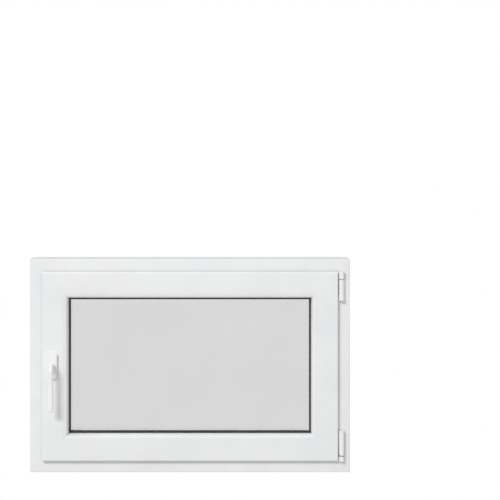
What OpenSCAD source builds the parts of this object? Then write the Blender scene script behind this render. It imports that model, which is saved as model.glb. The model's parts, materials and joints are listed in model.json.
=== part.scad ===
// Small tilt-and-turn casement window: welded PVC-U outer frame and sash, double
// glazing, side-hung on the right, with a lever handle and a one-hand mechanism.
// X runs to the right seen from the room, Y to the outside and Z up.  The origin is
// the centre of the frame's bottom face.  Inside window(), y is the depth d behind
// the frame's room face, and u is the distance in from the frame's outer edge.

/* [Frame] */
// Overall width of the outer frame
frame_width = 900; // [760:10:1100]
// Overall height of the outer frame
frame_height = 600; // [560:10:900]
// Depth of the frame profile, room face to outside face
frame_depth = 70; // [68:1:86]

/* [Glazing] */
// Thickness of each pane of glass
pane_thickness = 4; // [3:0.5:6]
// Thickness of the whole sealed unit
unit_thickness = 24; // [20:1:26]
// Edge of the sealed unit, in from the frame's outer edge
glass_u = 98; // [97:0.5:100]

/* [Handle] */
// Height of the spindle above the frame's bottom face
handle_height = 304; // [280:2:340]
// Reach of the lever below the spindle
lever_length = 122; // [95:1:150]
// Width of the lever's grip
lever_width = 15.5; // [12:0.5:18]
// Height of the rosette
rosette_height = 72; // [66:1:90]
// Width of the rosette
rosette_width = 27; // [24:1:32]

/* [Hardware] */
// Travel of the drive rods per quarter turn of the handle
rod_stroke = 12; // [10:0.5:12.5]
// Diameter of a locking cam's roller
cam_diameter = 10; // [8:0.5:11]
// Diameter of the hinge covers
cover_diameter = 14.5; // [14.5:0.5:16]
// Diameter of the upper hinge pin
hinge_pin_diameter = 6; // [5:0.5:7]

/* [Hidden] */
$fn = 48;

pvc_white = [0.90, 0.905, 0.91];
gasket_black = [0.14, 0.14, 0.15];
zinc = [0.72, 0.73, 0.74];
glass_tint = [0.78, 0.82, 0.82, 0.5];

// a hair that lets a cut run past the face it opens
past = 0.1;
// walls
wall = 3;
web = 2;

// frame profile
rebate_u = 41;
frame_round = 2.5;
stop_d = frame_depth - 22;
stop_u = 66;
stop_fall = 5;
drain_d = [22, stop_d - 4];
drain_floor_u = rebate_u - 3;
anchor_depth = 4;
anchor_d = [18, frame_depth - 20];
anchor_width = 6;
frame_steel_d = [15, stop_d - 4.5];
frame_steel_u = [7.5, 34.5];
steel_wall = 1.5;
steel_fit = 0.5;
front_chamber_d = [wall, frame_steel_d[0] - steel_fit - wall];
rear_chamber_d = [stop_d - 2, frame_depth - wall];
frame_chamber_u = [anchor_depth + wall, drain_floor_u - wall];
stop_gasket_u = 59;
stop_groove = 3;

// sash profile: it overlaps the frame by 6 mm and stands proud of it
lip_u = 35;
sash_u = 53;
sash_front = -18;
lip_back = -5;
lip_round = 4.5;
sash_step_d = stop_d - 4;
sash_back = sash_step_d + 8;
sash_step_u = 70;
sash_inner_u = 110;
bead_step_u = 97;
bead_step_d = -13;
glazing_floor_u = 93;
outer_leg_d = 36;
groove_seat_d = [0, 16];
groove_seat_u = sash_u + 3;
groove_channel_d = [2, 14];
groove_floor_u = 63;
groove_axis_d = 8;
sash_steel_d = [19, 38];
sash_steel_u = [groove_seat_u + 0.5, 89.5];

// sealed unit and its gaskets
glass_front = outer_leg_d - wall - unit_thickness;
glass_back = outer_leg_d - wall;
spacer_u = [glass_u + 5, glass_u + 12];
bead_back = glass_front - wall;
bead_clip_d = [-7.2, -5.2];
bead_clip_u = 91.5;
bead_foot_u = 93.3;
bead_fit = 0.1;
bead_edge_u = 109.2;
bead_nose_u = 107;
gasket_sight_u = 114.3;
outer_sight_u = 111.5;
block_length = 80;

// hinge axes
hinge_x = frame_width / 2 - 25;
hinge_d = -11;
tilt_z = 54;
running_fit = 0.06;
press_fit = 0.03;
cover_r = cover_diameter / 2;
cover_wall = 0.85;
swivel_r = 3.5;
swivel_half = 3.5;
axle_r = 2;
cheek = 1.5;
cheek_fit = 0.2;
bearing_z = [36.2, 48];
bearing_r = 5.8;
pin_r = hinge_pin_diameter / 2;
eye_r = 6;
gap_plate_d = [-3.8, -1.3];
bracket_plate_d = [-2.6, -0.1];
plate = 2.5;

// upper hinge
stay_top = frame_height - 34;
eye_z = [stay_top - 21, stay_top - 4];
stay_bearing_z = [frame_height - 112, eye_z[0] - 2];
stay_plate_z = [frame_height - 49, frame_height - 46.5];
stay_reach_x = hinge_x - 260;
stay_pin_r = 3;

// mechanism: local s runs along a member in the direction that its rod moves
rod_travel = 2 * rod_stroke;
pinion_teeth = 12;
pitch_r = 2 * rod_stroke / PI;
tooth_pitch = 2 * PI * pitch_r / pinion_teeth;
tooth_fit = 0.1;
pressure_angle = 20;
spindle_u = 65.5;
spindle_x = spindle_u - frame_width / 2;
pitch_line_u = spindle_u - pitch_r;
rod_u = [sash_u + 2.3, sash_u + 4.5];
rod_d = [3, 13];
rack_root_u = pitch_line_u - 1.3;
rack_tip_u = pitch_line_u + 0.85;
pinion_tip_r = pitch_r + 1.05;
pinion_root_r = pitch_r - 1.1;
rack_half = 40;
rack_gap = 0.28;
faceplate_u = [sash_u, sash_u + 2];
faceplate_d = [0.2, 15.8];
cam_r = cam_diameter / 2;
cam_stem_r = 3.2;
cam_tip_u = sash_u - 8.5;
cam_root_u = sash_u - 1.5;
slot_fit = 0.4;
handle_s = frame_height / 2 - handle_height;
upper_cam_s = 160 - frame_height / 2;
lower_cam_s = frame_height / 2 - 180;
head_cam_s = frame_width / 2 - 200;
tilt_cam_s = 90 - frame_width / 2;
left_rod_s = [90 - frame_height / 2, frame_height / 2 - 90];
top_rod_s = [frame_width / 2 - 225, frame_width / 2 - 90];
bottom_rod_s = [70 - frame_width / 2, 132 - frame_width / 2];
corner_leg = 87;
corner_leg_long = 120;
corner_inner_u = 62.5;
screw_r = 1.9;
screw_hole_r = 1.95;
screw_head_r = 3.4;
screw_head = 1.1;
screw_bite = 9;
sash_bite = 14;
striker_d = [0.8, 18.5];
striker_wall = 2;
striker_rise = 7.5;
past_rest = 2.5;
square_hole = 7.2;
spindle = 7;
handle_screw_offset = 21.5;
rosette_d = [-28.5, sash_front];
cap_d = -26.8;
lever_neck_r = 8;
lever_d = [-68, -56];
housing_half = 30;
housing_d = [1.2, 14.8];
housing_u = [59, 79];

// screw places: [side, s, d], into the frame and into the sash
frame_screws = [
    [3, upper_cam_s - 16, groove_axis_d], [3, upper_cam_s + 40, groove_axis_d],
    [3, lower_cam_s - 16, groove_axis_d], [3, lower_cam_s + 40, groove_axis_d],
    [2, head_cam_s - 16, groove_axis_d], [2, head_cam_s + 40, groove_axis_d],
    [0, tilt_cam_s - 16, groove_axis_d], [0, tilt_cam_s + 40, groove_axis_d],
    [1, tilt_z + 1 - frame_height / 2, groove_axis_d],
    [1, tilt_z + 1 - frame_height / 2, groove_axis_d + 9]
];
sash_screws = [
    [3, handle_s - 76, groove_axis_d], [3, handle_s + 79, groove_axis_d],
    [3, 72 - frame_height / 2, groove_axis_d], [3, frame_height / 2 - 130, groove_axis_d],
    [2, frame_width / 2 - 110, groove_axis_d], [2, 0, groove_axis_d],
    [0, 166 - frame_width / 2, groove_axis_d]
];
strap_screws = [
    [1, 80 - frame_height / 2, groove_axis_d], [1, 100 - frame_height / 2, groove_axis_d]
];
fixing_z = [150, frame_height - 150];
fixing_d = 30;
drain_x = [-frame_width / 4, frame_width / 4];
fixing_r = 3.1;

function side_span(side) = side % 2 == 0 ? frame_width : frame_height;
function side_reach(side) = side % 2 == 0 ? frame_height : frame_width;

// ---------- placing and basic shapes ----------

module window() {
    translate([0, -frame_depth / 2, 0]) children();
}

// what is drawn for the bottom member (x = s, y = d, z = u) moved to another side:
// 0 bottom, 1 right, 2 top, 3 left
module on_side(side) {
    translate([0, 0, frame_height / 2])
        rotate([0, -90 * side, 0])
            translate([0, 0, -side_reach(side) / 2]) children();
}

module block(low, high) {
    translate(low) cube(high - low);
}

module pin_x(from, to, d, z, r) {
    translate([from, d, z]) rotate([0, 90, 0]) cylinder(h = to - from, r = r);
}

module pin_d(from, to, x, z, r) {
    translate([x, from, z]) rotate([-90, 0, 0]) cylinder(h = to - from, r = r);
}

module pin_z(from, to, x, d, r) {
    translate([x, d, from]) cylinder(h = to - from, r = r);
}

// the waste that rounds a square corner whose material lies towards +x and +y
module corner_waste(at, r, angle) {
    translate(at)
        rotate(angle)
            difference() {
                translate([-past, -past]) square(r + past);
                translate([r, r]) circle(r);
            }
}

module chamber(d, u) {
    translate([d[0], u[0]]) square([d[1] - d[0], u[1] - u[0]]);
}

// sweeps a section (x = d, y = u) along one side, with mitred ends
module member(side) {
    span = side_span(side);
    reach = 130;
    depth = 200;
    on_side(side)
        intersection() {
            rotate([90, 0, 90])
                translate([0, 0, -span / 2])
                    linear_extrude(span) children();
            translate([0, depth / 2, 0])
                rotate([90, 0, 0])
                    linear_extrude(depth)
                        polygon([
                            [-span / 2, 0], [span / 2, 0],
                            [span / 2 - reach, reach], [reach - span / 2, reach]
                        ]);
        }
}

module ring() {
    for (side = [0:3]) member(side) children();
}

// a straight bar of a section that stops short of the corners
module cut_bar(side, short) {
    span = side_span(side) - 2 * short;
    on_side(side)
        rotate([90, 0, 90])
            translate([0, 0, -span / 2])
                linear_extrude(span) children();
}

// a slot along s with round ends, cut through from u = low to u = high
module slot(s_from, s_to, d, r, low, high) {
    translate([0, 0, low])
        linear_extrude(high - low) {
            translate([s_from, d - r]) square([s_to - s_from, 2 * r]);
            translate([s_from, d]) circle(r);
            translate([s_to, d]) circle(r);
        }
}

// ---------- screws ----------

// a pan-head screw driven along +u, head resting at u = seat
module sash_screw(place, seat) {
    on_side(place[0]) {
        pin_z(seat - screw_head, seat, place[1], place[2], screw_head_r);
        pin_z(seat, sash_u + sash_bite, place[1], place[2], screw_r);
    }
}

module frame_screw(place) {
    on_side(place[0]) {
        pin_z(rebate_u + plate, rebate_u + plate + screw_head, place[1], place[2], screw_head_r);
        pin_z(rebate_u - screw_bite + plate, rebate_u + plate, place[1], place[2], screw_r);
    }
}

module frame_screw_hole(place) {
    on_side(place[0])
        pin_z(rebate_u - screw_bite, rebate_u + wall + past, place[1], place[2], screw_hole_r);
}

module sash_screw_hole(place) {
    on_side(place[0])
        pin_z(sash_u - past - plate, sash_u + sash_bite + past, place[1], place[2], screw_hole_r);
}

module stay_bearing_screws(r, front) {
    for (z = [stay_bearing_z[0] + 9, stay_bearing_z[1] - 9])
        pin_d(front, screw_bite, hinge_x, z, r);
}

// ---------- outer frame ----------

module frame_section() {
    difference() {
        polygon([
            [0, 0], [0, rebate_u], [drain_d[0], rebate_u], [drain_d[0], drain_floor_u],
            [drain_d[1], drain_floor_u], [drain_d[1], rebate_u], [stop_d, rebate_u],
            [stop_d, stop_u], [stop_d + web, stop_u], [frame_depth, stop_u - stop_fall],
            [frame_depth, 0]
        ]);
        corner_waste([0, 0], frame_round, 0);
        for (d = anchor_d)
            chamber([d, d + anchor_width], [-past, anchor_depth]);
        chamber([stop_d - past, stop_d + stop_groove], [stop_gasket_u - 1.5, stop_gasket_u + 1.5]);
        chamber(front_chamber_d, [wall, rebate_u - wall]);
        chamber(frame_steel_d + [-steel_fit, steel_fit], frame_chamber_u);
        chamber(rear_chamber_d, [frame_chamber_u[0], rebate_u - wall]);
        chamber([stop_d + stop_groove + wall, frame_depth - wall], [rebate_u, stop_u - stop_fall - wall]);
    }
}

module frame_member(side) {
    color(pvc_white)
        difference() {
            member(side) frame_section();
            for (place = frame_screws)
                if (place[0] == side) frame_screw_hole(place);
            if (side == 0) {
                for (x = drain_x) {
                    block([x - 12, stop_d - 3.8, rebate_u - wall - past],
                          [x + 12, stop_d - 0.2, rebate_u + past]);
                    block([x - 12, frame_depth - wall - past, 16], [x + 12, frame_depth + past, 21]);
                }
            }
            if (side == 1) {
                stay_bearing_screws(screw_hole_r, -past);
            }
            if (side % 2 == 1) {
                for (z = fixing_z)
                    on_side(side)
                        pin_z(-past, rebate_u, (side == 1 ? 1 : -1) * (z - frame_height / 2), fixing_d, fixing_r);
            }
        }
}

module frame_sill() {
    frame_member(0);
}

module frame_jamb_right() {
    frame_member(1);
}

module frame_head() {
    frame_member(2);
}

module frame_jamb_left() {
    frame_member(3);
}

module steel_section(d, u) {
    difference() {
        chamber(d, u);
        chamber(d + [steel_wall, -steel_wall], [u[0] - past, u[1] - steel_wall]);
    }
}

module frame_steel(side) {
    color(zinc)
        difference() {
            cut_bar(side, rebate_u) steel_section(frame_steel_d, frame_steel_u);
            if (side % 2 == 1) {
                for (z = fixing_z)
                    on_side(side)
                        pin_z(0, rebate_u, (side == 1 ? 1 : -1) * (z - frame_height / 2), fixing_d, fixing_r);
            }
        }
}

module frame_steel_rails() {
    for (side = [0, 2]) frame_steel(side);
}

module frame_steel_jambs() {
    for (side = [1, 3]) frame_steel(side);
}

module frame_gasket() {
    color(gasket_black)
        ring() {
            chamber([stop_d, stop_d + stop_groove - 0.2], [stop_gasket_u - 1.2, stop_gasket_u + 1.2]);
            polygon([
                [stop_d, stop_gasket_u - 2], [stop_d, stop_gasket_u + 3],
                [stop_d - 1.4, stop_gasket_u + 4], [sash_step_d + 0.3, stop_gasket_u + 3],
                [sash_step_d + 0.3, stop_gasket_u + 2], [stop_d - 1.4, stop_gasket_u - 1]
            ]);
        }
}

module drainage_caps() {
    color(pvc_white)
        for (x = drain_x)
            difference() {
                block([x - 20, frame_depth, 11], [x + 20, frame_depth + 4.5, 25]);
                block([x - 18, frame_depth - past, 9], [x + 18, frame_depth + 3, 23]);
            }
}

// ---------- strikers and keep on the frame's rebate ----------

// base plate under a cam's travel, a back wall behind it and a lip just past its rest
module striker(side, cam_s) {
    start = cam_s - 26;
    end = cam_s + 48;
    back_wall = groove_axis_d + cam_r + 1;
    color(zinc)
        difference() {
            on_side(side) {
                block([start, striker_d[0], rebate_u], [end, striker_d[1], rebate_u + plate]);
                block([start, back_wall, rebate_u], [end, back_wall + striker_wall, rebate_u + striker_rise]);
                block([start, striker_d[0], rebate_u],
                      [cam_s - cam_r - past_rest, groove_axis_d - cam_r - slot_fit, rebate_u + striker_rise]);
            }
            for (place = frame_screws) frame_screw_hole(place);
        }
}

module striker_upper() {
    striker(3, upper_cam_s);
}

module striker_lower() {
    striker(3, lower_cam_s);
}

module striker_head() {
    striker(2, head_cam_s);
}

// open to the room while the cam is in its turn position, closed past the tilt one
module tilt_keep() {
    start = tilt_cam_s - 26;
    end = tilt_cam_s + 58;
    // the cam rocks outwards as the sash tilts
    back_wall = groove_axis_d + cam_r + 1.6;
    color(zinc)
        difference() {
            on_side(0) {
                block([start, striker_d[0], rebate_u], [end, striker_d[1], rebate_u + plate]);
                block([start, back_wall, rebate_u], [end, back_wall + striker_wall, rebate_u + striker_rise]);
                block([tilt_cam_s + rod_travel + cam_r + past_rest + 0.5, striker_d[0], rebate_u],
                      [end, groove_axis_d - cam_r + 0.2, rebate_u + striker_rise]);
            }
            for (place = frame_screws) frame_screw_hole(place);
        }
}

// ---------- lower hinge ----------

module lower_bearing_bracket() {
    strip_z = [44, 62];
    jamb_x = frame_width / 2 - rebate_u;
    color(zinc)
        difference() {
            union() {
                pin_z(bearing_z[0], bearing_z[1], hinge_x, hinge_d, bearing_r);
                block([hinge_x - 4, hinge_d, bearing_z[0]],
                      [hinge_x + 4, bracket_plate_d[1], bearing_z[1]]);
                block([jamb_x - plate, bracket_plate_d[0], strip_z[0]],
                      [hinge_x + 4, bracket_plate_d[1], bearing_z[1]]);
                block([jamb_x - plate, bracket_plate_d[0], strip_z[0]],
                      [hinge_x - 9, bracket_plate_d[1], strip_z[1]]);
                block([jamb_x - plate, bracket_plate_d[0], strip_z[0]],
                      [jamb_x, groove_axis_d + 22, strip_z[1]]);
            }
            pin_z(bearing_z[0] + 1.5, bearing_z[1] + past, hinge_x, hinge_d, swivel_r + running_fit);
            for (place = frame_screws) frame_screw_hole(place);
        }
}

// outline of a hinge cover: round towards the room, square towards the frame
module cover_outline(r, back) {
    circle(r);
    translate([-r, 0]) square([2 * r, back - hinge_d]);
}

module lower_bearing_cover() {
    color(pvc_white)
        translate([hinge_x, hinge_d, lip_u])
            difference() {
                linear_extrude(bearing_z[1] - lip_u) cover_outline(cover_r, -0.2);
                translate([0, 0, 1])
                    linear_extrude(bearing_z[1] - lip_u) cover_outline(cover_r - cover_wall, past);
                translate([-cover_r - 1, -0.2 - hinge_d - 3, 8])
                    cube([cover_r + 1, 4, bearing_z[1]]);
            }
}

// turns in the bearing and carries the tilt axle
module hinge_swivel() {
    head_z = [bearing_z[1] + 0.3, tilt_z + 4.5];
    color(zinc)
        difference() {
            union() {
                pin_z(bearing_z[0] + 1.8, head_z[0] + 1, hinge_x, hinge_d, swivel_r);
                block([hinge_x - swivel_half, hinge_d - swivel_half, head_z[0]],
                      [hinge_x + swivel_half, hinge_d + swivel_half, head_z[1]]);
            }
            pin_x(hinge_x - swivel_half - 1, hinge_x + swivel_half + 1, hinge_d, tilt_z,
                  axle_r + running_fit);
        }
}

module tilt_axle() {
    half = swivel_half + cheek_fit + cheek;
    color(zinc) pin_x(hinge_x - half, hinge_x + half, hinge_d, tilt_z, axle_r);
}

// fork over the axle, neck through the gap behind the lip, plate on the sash
module sash_hinge_strap() {
    half = swivel_half + cheek_fit + cheek;
    bridge_z = [tilt_z + 6, tilt_z + 12];
    neck_z = [70, 110];
    sash_x = frame_width / 2 - sash_u;
    color(zinc)
        difference() {
            union() {
                for (x = [-half, half - cheek]) {
                    pin_x(hinge_x + x, hinge_x + x + cheek, hinge_d, tilt_z, swivel_half);
                    block([hinge_x + x, hinge_d - swivel_half, tilt_z],
                          [hinge_x + x + cheek, hinge_d + swivel_half, bridge_z[1]]);
                }
                block([hinge_x - half, hinge_d - swivel_half, bridge_z[0]],
                      [hinge_x + half, hinge_d + swivel_half, bridge_z[1]]);
                block([hinge_x - 4, hinge_d - 2, bridge_z[0]],
                      [hinge_x + 2, hinge_d + 2, neck_z[1]]);
                block([hinge_x - 4, hinge_d, neck_z[0]],
                      [hinge_x + 2, gap_plate_d[1], neck_z[1]]);
                block([sash_x, gap_plate_d[0], neck_z[0]],
                      [hinge_x + 2, gap_plate_d[1], neck_z[1]]);
                block([sash_x, gap_plate_d[0], neck_z[0]],
                      [sash_x + plate, groove_seat_d[1], neck_z[1]]);
            }
            pin_x(hinge_x - half - 1, hinge_x + half + 1, hinge_d, tilt_z, axle_r + press_fit);
            for (place = strap_screws) sash_screw_hole(place);
        }
}

module sash_hinge_cover() {
    low = tilt_z - 3;
    high = 119;
    back = -4.2;
    color(pvc_white)
        translate([hinge_x, hinge_d, 0])
            difference() {
                translate([0, 0, low])
                    linear_extrude(high - low) cover_outline(cover_r, back);
                translate([0, 0, low - past])
                    linear_extrude(high - low - 1.5)
                        cover_outline(cover_r - cover_wall, 3 + back - hinge_d);
            }
}

// ---------- upper hinge ----------

module stay_bearing() {
    half = cover_r - cover_wall - 0.6;
    color(zinc)
        difference() {
            union() {
                block([hinge_x - half, -3, stay_bearing_z[0]], [hinge_x + half, 0, stay_bearing_z[1]]);
                block([hinge_x - 4.5, hinge_d, stay_bearing_z[0] + 18],
                      [hinge_x + 4.5, -past, stay_bearing_z[1] - 18]);
                pin_z(stay_bearing_z[0] + 18, stay_bearing_z[1] - 18, hinge_x, hinge_d, bearing_r);
            }
            pin_z(stay_bearing_z[0], stay_bearing_z[1] + 1, hinge_x, hinge_d, pin_r + press_fit);
            stay_bearing_screws(screw_hole_r, -4);
        }
}

module stay_bearing_pin() {
    color(zinc)
        pin_z(stay_bearing_z[0] + 4, eye_z[1], hinge_x, hinge_d, pin_r);
}

module stay_bearing_cover() {
    collar_z = [frame_height - 115, frame_height - 102];
    top_z = stay_bearing_z[1];
    color(pvc_white)
        translate([hinge_x, hinge_d, 0])
            difference() {
                union() {
                    translate([0, 0, collar_z[1]])
                        linear_extrude(top_z - collar_z[1]) cover_outline(cover_r, -0.2);
                    translate([0, 0, collar_z[0]])
                        linear_extrude(collar_z[1] - collar_z[0]) cover_outline(cover_r + 0.8, -0.2);
                }
                translate([0, 0, collar_z[0] + 1.5])
                    linear_extrude(top_z - collar_z[0] + past)
                        cover_outline(cover_r - cover_wall, past);
            }
}

// ---------- stay arm ----------

module stay_arm() {
    end_x = frame_width / 2 - rebate_u - 4;
    flange_x = frame_width / 2 - sash_u;
    flange_z = [stay_plate_z[0], stay_plate_z[1] + 4.5];
    color(zinc)
        difference() {
            union() {
                pin_z(eye_z[0], eye_z[1] - 0.5, hinge_x, hinge_d, eye_r);
                block([hinge_x - 3, hinge_d, flange_z[0]],
                      [hinge_x + 2, gap_plate_d[1], flange_z[1]]);
                block([flange_x, gap_plate_d[0], flange_z[0]],
                      [hinge_x + 2, gap_plate_d[1], flange_z[1]]);
                block([flange_x, gap_plate_d[0], stay_plate_z[0]],
                      [end_x, groove_seat_d[1], stay_plate_z[1]]);
                block([stay_reach_x, groove_seat_d[0] + 0.5, stay_plate_z[0]],
                      [end_x, groove_seat_d[1] - 0.5, stay_plate_z[1]]);
                pin_z(stay_plate_z[0], stay_plate_z[1], stay_reach_x, groove_axis_d, 7.5);
            }
            pin_z(eye_z[0] - 1, eye_z[1] + 1, hinge_x, hinge_d, pin_r + running_fit);
            pin_z(stay_plate_z[0] - 1, stay_plate_z[1] + 1, stay_reach_x, groove_axis_d,
                  stay_pin_r + press_fit);
        }
}

module stay_arm_pin() {
    color(zinc) {
        pin_z(frame_height - 60, stay_plate_z[1], stay_reach_x, groove_axis_d, stay_pin_r);
        pin_z(stay_plate_z[1], stay_plate_z[1] + 1.2, stay_reach_x, groove_axis_d, stay_pin_r + 1.5);
    }
}

module stay_arm_cap() {
    color(pvc_white)
        translate([hinge_x, hinge_d, 0]) {
            translate([0, 0, eye_z[1]]) cylinder(h = stay_top - eye_z[1], r = cover_r);
            difference() {
                pin_z(eye_z[0], eye_z[1], 0, 0, cover_r);
                pin_z(eye_z[0] - 1, eye_z[1], 0, 0, cover_r - cover_wall);
                block([-cover_r - 1, 3, eye_z[0] - 1], [cover_r + 1, cover_r + 1, eye_z[1]]);
            }
        }
}

// ---------- sash ----------

module sash_section() {
    difference() {
        polygon([
            [sash_front, lip_u], [lip_back, lip_u], [lip_back, sash_u],
            [groove_seat_d[0], sash_u], [groove_seat_d[0], groove_seat_u],
            [groove_channel_d[0], groove_seat_u], [groove_channel_d[0], groove_floor_u],
            [groove_channel_d[1], groove_floor_u], [groove_channel_d[1], groove_seat_u],
            [groove_seat_d[1], groove_seat_u], [groove_seat_d[1], sash_u],
            [sash_step_d, sash_u], [sash_step_d, sash_step_u],
            [sash_back, sash_step_u + 3], [sash_back, sash_inner_u - 5],
            [sash_back - 7, sash_inner_u], [outer_leg_d, sash_inner_u],
            [outer_leg_d, glazing_floor_u], [bead_clip_d[1] + 0.2, glazing_floor_u],
            [bead_clip_d[1] + 0.2, bead_clip_u - 0.2], [bead_clip_d[0] - 0.2, bead_clip_u - 0.2],
            [bead_clip_d[0] - 0.2, glazing_floor_u], [bead_step_d, glazing_floor_u],
            [bead_step_d, bead_step_u], [sash_front, bead_step_u]
        ]);
        corner_waste([sash_front, lip_u], lip_round, 0);
        corner_waste([sash_front, bead_step_u], 0.3, -90);
        chamber([sash_front + wall, lip_back - web], [lip_u + 6, sash_u]);
        chamber([sash_front + wall, -wall], [sash_u + wall, glazing_floor_u - 5]);
        chamber([0, groove_seat_d[1]], [groove_floor_u + wall, glazing_floor_u - wall]);
        chamber(sash_steel_d + [-steel_fit, steel_fit], sash_steel_u + [-steel_fit, steel_fit]);
        chamber([sash_steel_d[1] + steel_fit + web, sash_back - wall],
                [sash_step_u + wall + 1, sash_inner_u - 8]);
    }
}

module sash_member(side) {
    color(pvc_white)
        difference() {
            member(side) sash_section();
            for (place = concat(sash_screws, strap_screws))
                if (place[0] == side) sash_screw_hole(place);
            if (side == 3) {
                on_side(3)
                    block([handle_s - housing_half - slot_fit, housing_d[0] - slot_fit, sash_u - past],
                          [handle_s + housing_half + slot_fit, housing_d[1] + slot_fit,
                           housing_u[1] + slot_fit]);
                pin_d(sash_front - 1, housing_d[0] + 1, spindle_x, handle_height, 6);
                for (z = [-1, 1])
                    pin_d(sash_front - 1, housing_d[0] + 1, spindle_x,
                          handle_height + z * handle_screw_offset, 2.6);
            }
        }
}

module sash_bottom() {
    sash_member(0);
}

module sash_right() {
    sash_member(1);
}

module sash_top() {
    sash_member(2);
}

module sash_left() {
    sash_member(3);
}

module sash_steel(side) {
    color(zinc)
        cut_bar(side, glazing_floor_u) steel_section(sash_steel_d, sash_steel_u);
}

module sash_steel_rails() {
    for (side = [0, 2]) sash_steel(side);
}

module sash_steel_stiles() {
    for (side = [1, 3]) sash_steel(side);
}

// rests on the frame's face; low along the bottom, where the lip rocks back, and cut away
// where the hinges pass through the gap
module sash_gasket() {
    low_z = 64;
    neck = 2;
    half = frame_width / 2;
    color(gasket_black)
        difference() {
            union() {
                intersection() {
                    ring() polygon([
                        [lip_back, lip_u + 1.5], [lip_back, lip_u + 5],
                        [lip_back + 2.5, lip_u + 5], [-0.3, lip_u + 2.5], [-0.3, lip_u + 1.5]
                    ]);
                    block([-half, -20, low_z], [half, 20, frame_height]);
                }
                intersection() {
                    ring() chamber([lip_back, lip_back + 1.2], [lip_u + 1.5, lip_u + 5]);
                    block([-half, -20, 0], [half, 20, low_z]);
                }
            }
            block([hinge_x - 20, lip_back - 1, lip_u + 6], [half, 0, 110 + neck]);
            block([hinge_x - 20, lip_back - 1, stay_plate_z[0] - neck],
                  [half, 0, stay_plate_z[1] + 4.5 + neck]);
        }
}

// ---------- glazing ----------

module bead_section() {
    difference() {
        polygon([
            [sash_front + 0.3, bead_step_u + bead_fit], [sash_front + 1.6, bead_nose_u - 3.4],
            [sash_front + 3, bead_nose_u - 2], [sash_front + 5.5, bead_nose_u],
            [sash_front + 12, bead_nose_u + 1.3],
            [bead_back, bead_edge_u], [bead_back, 100], [bead_back - 4, 100],
            [bead_back - 4, bead_foot_u], [bead_clip_d[1], bead_foot_u],
            [bead_clip_d[1], bead_clip_u], [bead_clip_d[0], bead_clip_u],
            [bead_clip_d[0], bead_foot_u], [bead_step_d + bead_fit, bead_foot_u],
            [bead_step_d + bead_fit, bead_step_u + bead_fit]
        ]);
        chamber([bead_step_d + 2.5, bead_back - 2], [102, bead_nose_u - 1.8]);
    }
}

module bead(side) {
    color(pvc_white) member(side) bead_section();
}

module bead_bottom() {
    bead(0);
}

module bead_right() {
    bead(1);
}

module bead_top() {
    bead(2);
}

module bead_left() {
    bead(3);
}

module glazing_gasket_inner() {
    color(gasket_black)
        ring() polygon([
            [bead_back, glass_u + 4], [glass_front, glass_u + 4], [glass_front, gasket_sight_u],
            [glass_front - 1, gasket_sight_u], [bead_back, bead_edge_u]
        ]);
}

module glazing_gasket_outer() {
    color(gasket_black)
        ring() polygon([
            [glass_back, glass_u + 4], [outer_leg_d, glass_u + 4], [outer_leg_d, sash_inner_u + 0.5],
            [glass_back + 1, outer_sight_u], [glass_back, outer_sight_u]
        ]);
}

module pane(front) {
    color(glass_tint)
        block([glass_u - frame_width / 2, front, glass_u],
              [frame_width / 2 - glass_u, front + pane_thickness, frame_height - glass_u]);
}

module glass_inner() {
    pane(glass_front);
}

module glass_outer() {
    pane(glass_back - pane_thickness);
}

module glass_spacer() {
    cavity = [glass_front + pane_thickness, glass_back - pane_thickness];
    color(zinc)
        ring() difference() {
            chamber(cavity, spacer_u);
            chamber(cavity + [0.6, -0.6], spacer_u + [0.6, -0.6]);
        }
}

module glass_edge_seal() {
    color(gasket_black)
        ring() chamber([glass_front + pane_thickness, glass_back - pane_thickness],
                       [glass_u, spacer_u[0]]);
}

// packers between the sash and the edge of the glass
module glazing_blocks() {
    color("royalblue")
        for (side = [0:3])
            for (end = [-1, 1])
                on_side(side)
                    translate([end * (side_span(side) / 2 - glass_u - 60), 0, 0])
                        block([-block_length / 2, glass_front, glazing_floor_u],
                              [block_length / 2, glass_back, glass_u]);
}

// ---------- drive mechanism ----------

function involute(a) = tan(a) - a * PI / 180;
function base_r() = pitch_r * cos(pressure_angle);
function flank_half(r) =
    ((tooth_pitch / 2 - tooth_fit) / 2 / pitch_r + involute(pressure_angle)
     - involute(acos(min(1, base_r() / r)))) * 180 / PI;
function flank(r, sign, tooth) =
    let (a = 360 * tooth / pinion_teeth + sign * flank_half(r)) [r * cos(a), r * sin(a)];
flank_r = [pinion_root_r, base_r() + 0.05, pitch_r, (pitch_r + pinion_tip_r) / 2, pinion_tip_r];

// involute pinion on the spindle, in mesh with the rack
module drive_pinion() {
    outline = [
        for (tooth = [0:pinion_teeth - 1])
            for (sign = [-1, 1])
                for (i = sign < 0 ? [0:1:4] : [4:-1:0]) flank(flank_r[i], sign, tooth)
    ];
    color(zinc)
        translate([spindle_x, 0, handle_height])
            rotate([90, 0, 0])
                difference() {
                    union() {
                        translate([0, 0, -12]) linear_extrude(8) polygon(outline);
                        translate([0, 0, -housing_d[1]])
                            cylinder(h = housing_d[1] - housing_d[0], r = 5.4);
                    }
                    translate([-square_hole / 2, -square_hole / 2, -20])
                        cube([square_hole, square_hole, 20]);
                }
}

module gearbox_housing() {
    color(zinc)
        difference() {
            on_side(3)
                block([handle_s - housing_half, housing_d[0], housing_u[0]],
                      [handle_s + housing_half, housing_d[1], housing_u[1]]);
            if (rack_tip_u + rack_gap > housing_u[0])
                on_side(3)
                    block([handle_s - housing_half - 1, rod_d[0] - 0.2, housing_u[0] - 1],
                          [handle_s + housing_half + 1, rod_d[1] + 0.2, rack_tip_u + rack_gap]);
            pin_d(3.6, 12.4, spindle_x, handle_height, pinion_tip_r + 0.4);
            pin_d(0, 20, spindle_x, handle_height, 5.4 + running_fit);
            for (z = [-1, 1])
                pin_d(0, 20, spindle_x, handle_height + z * handle_screw_offset, 2.5);
        }
}

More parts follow.
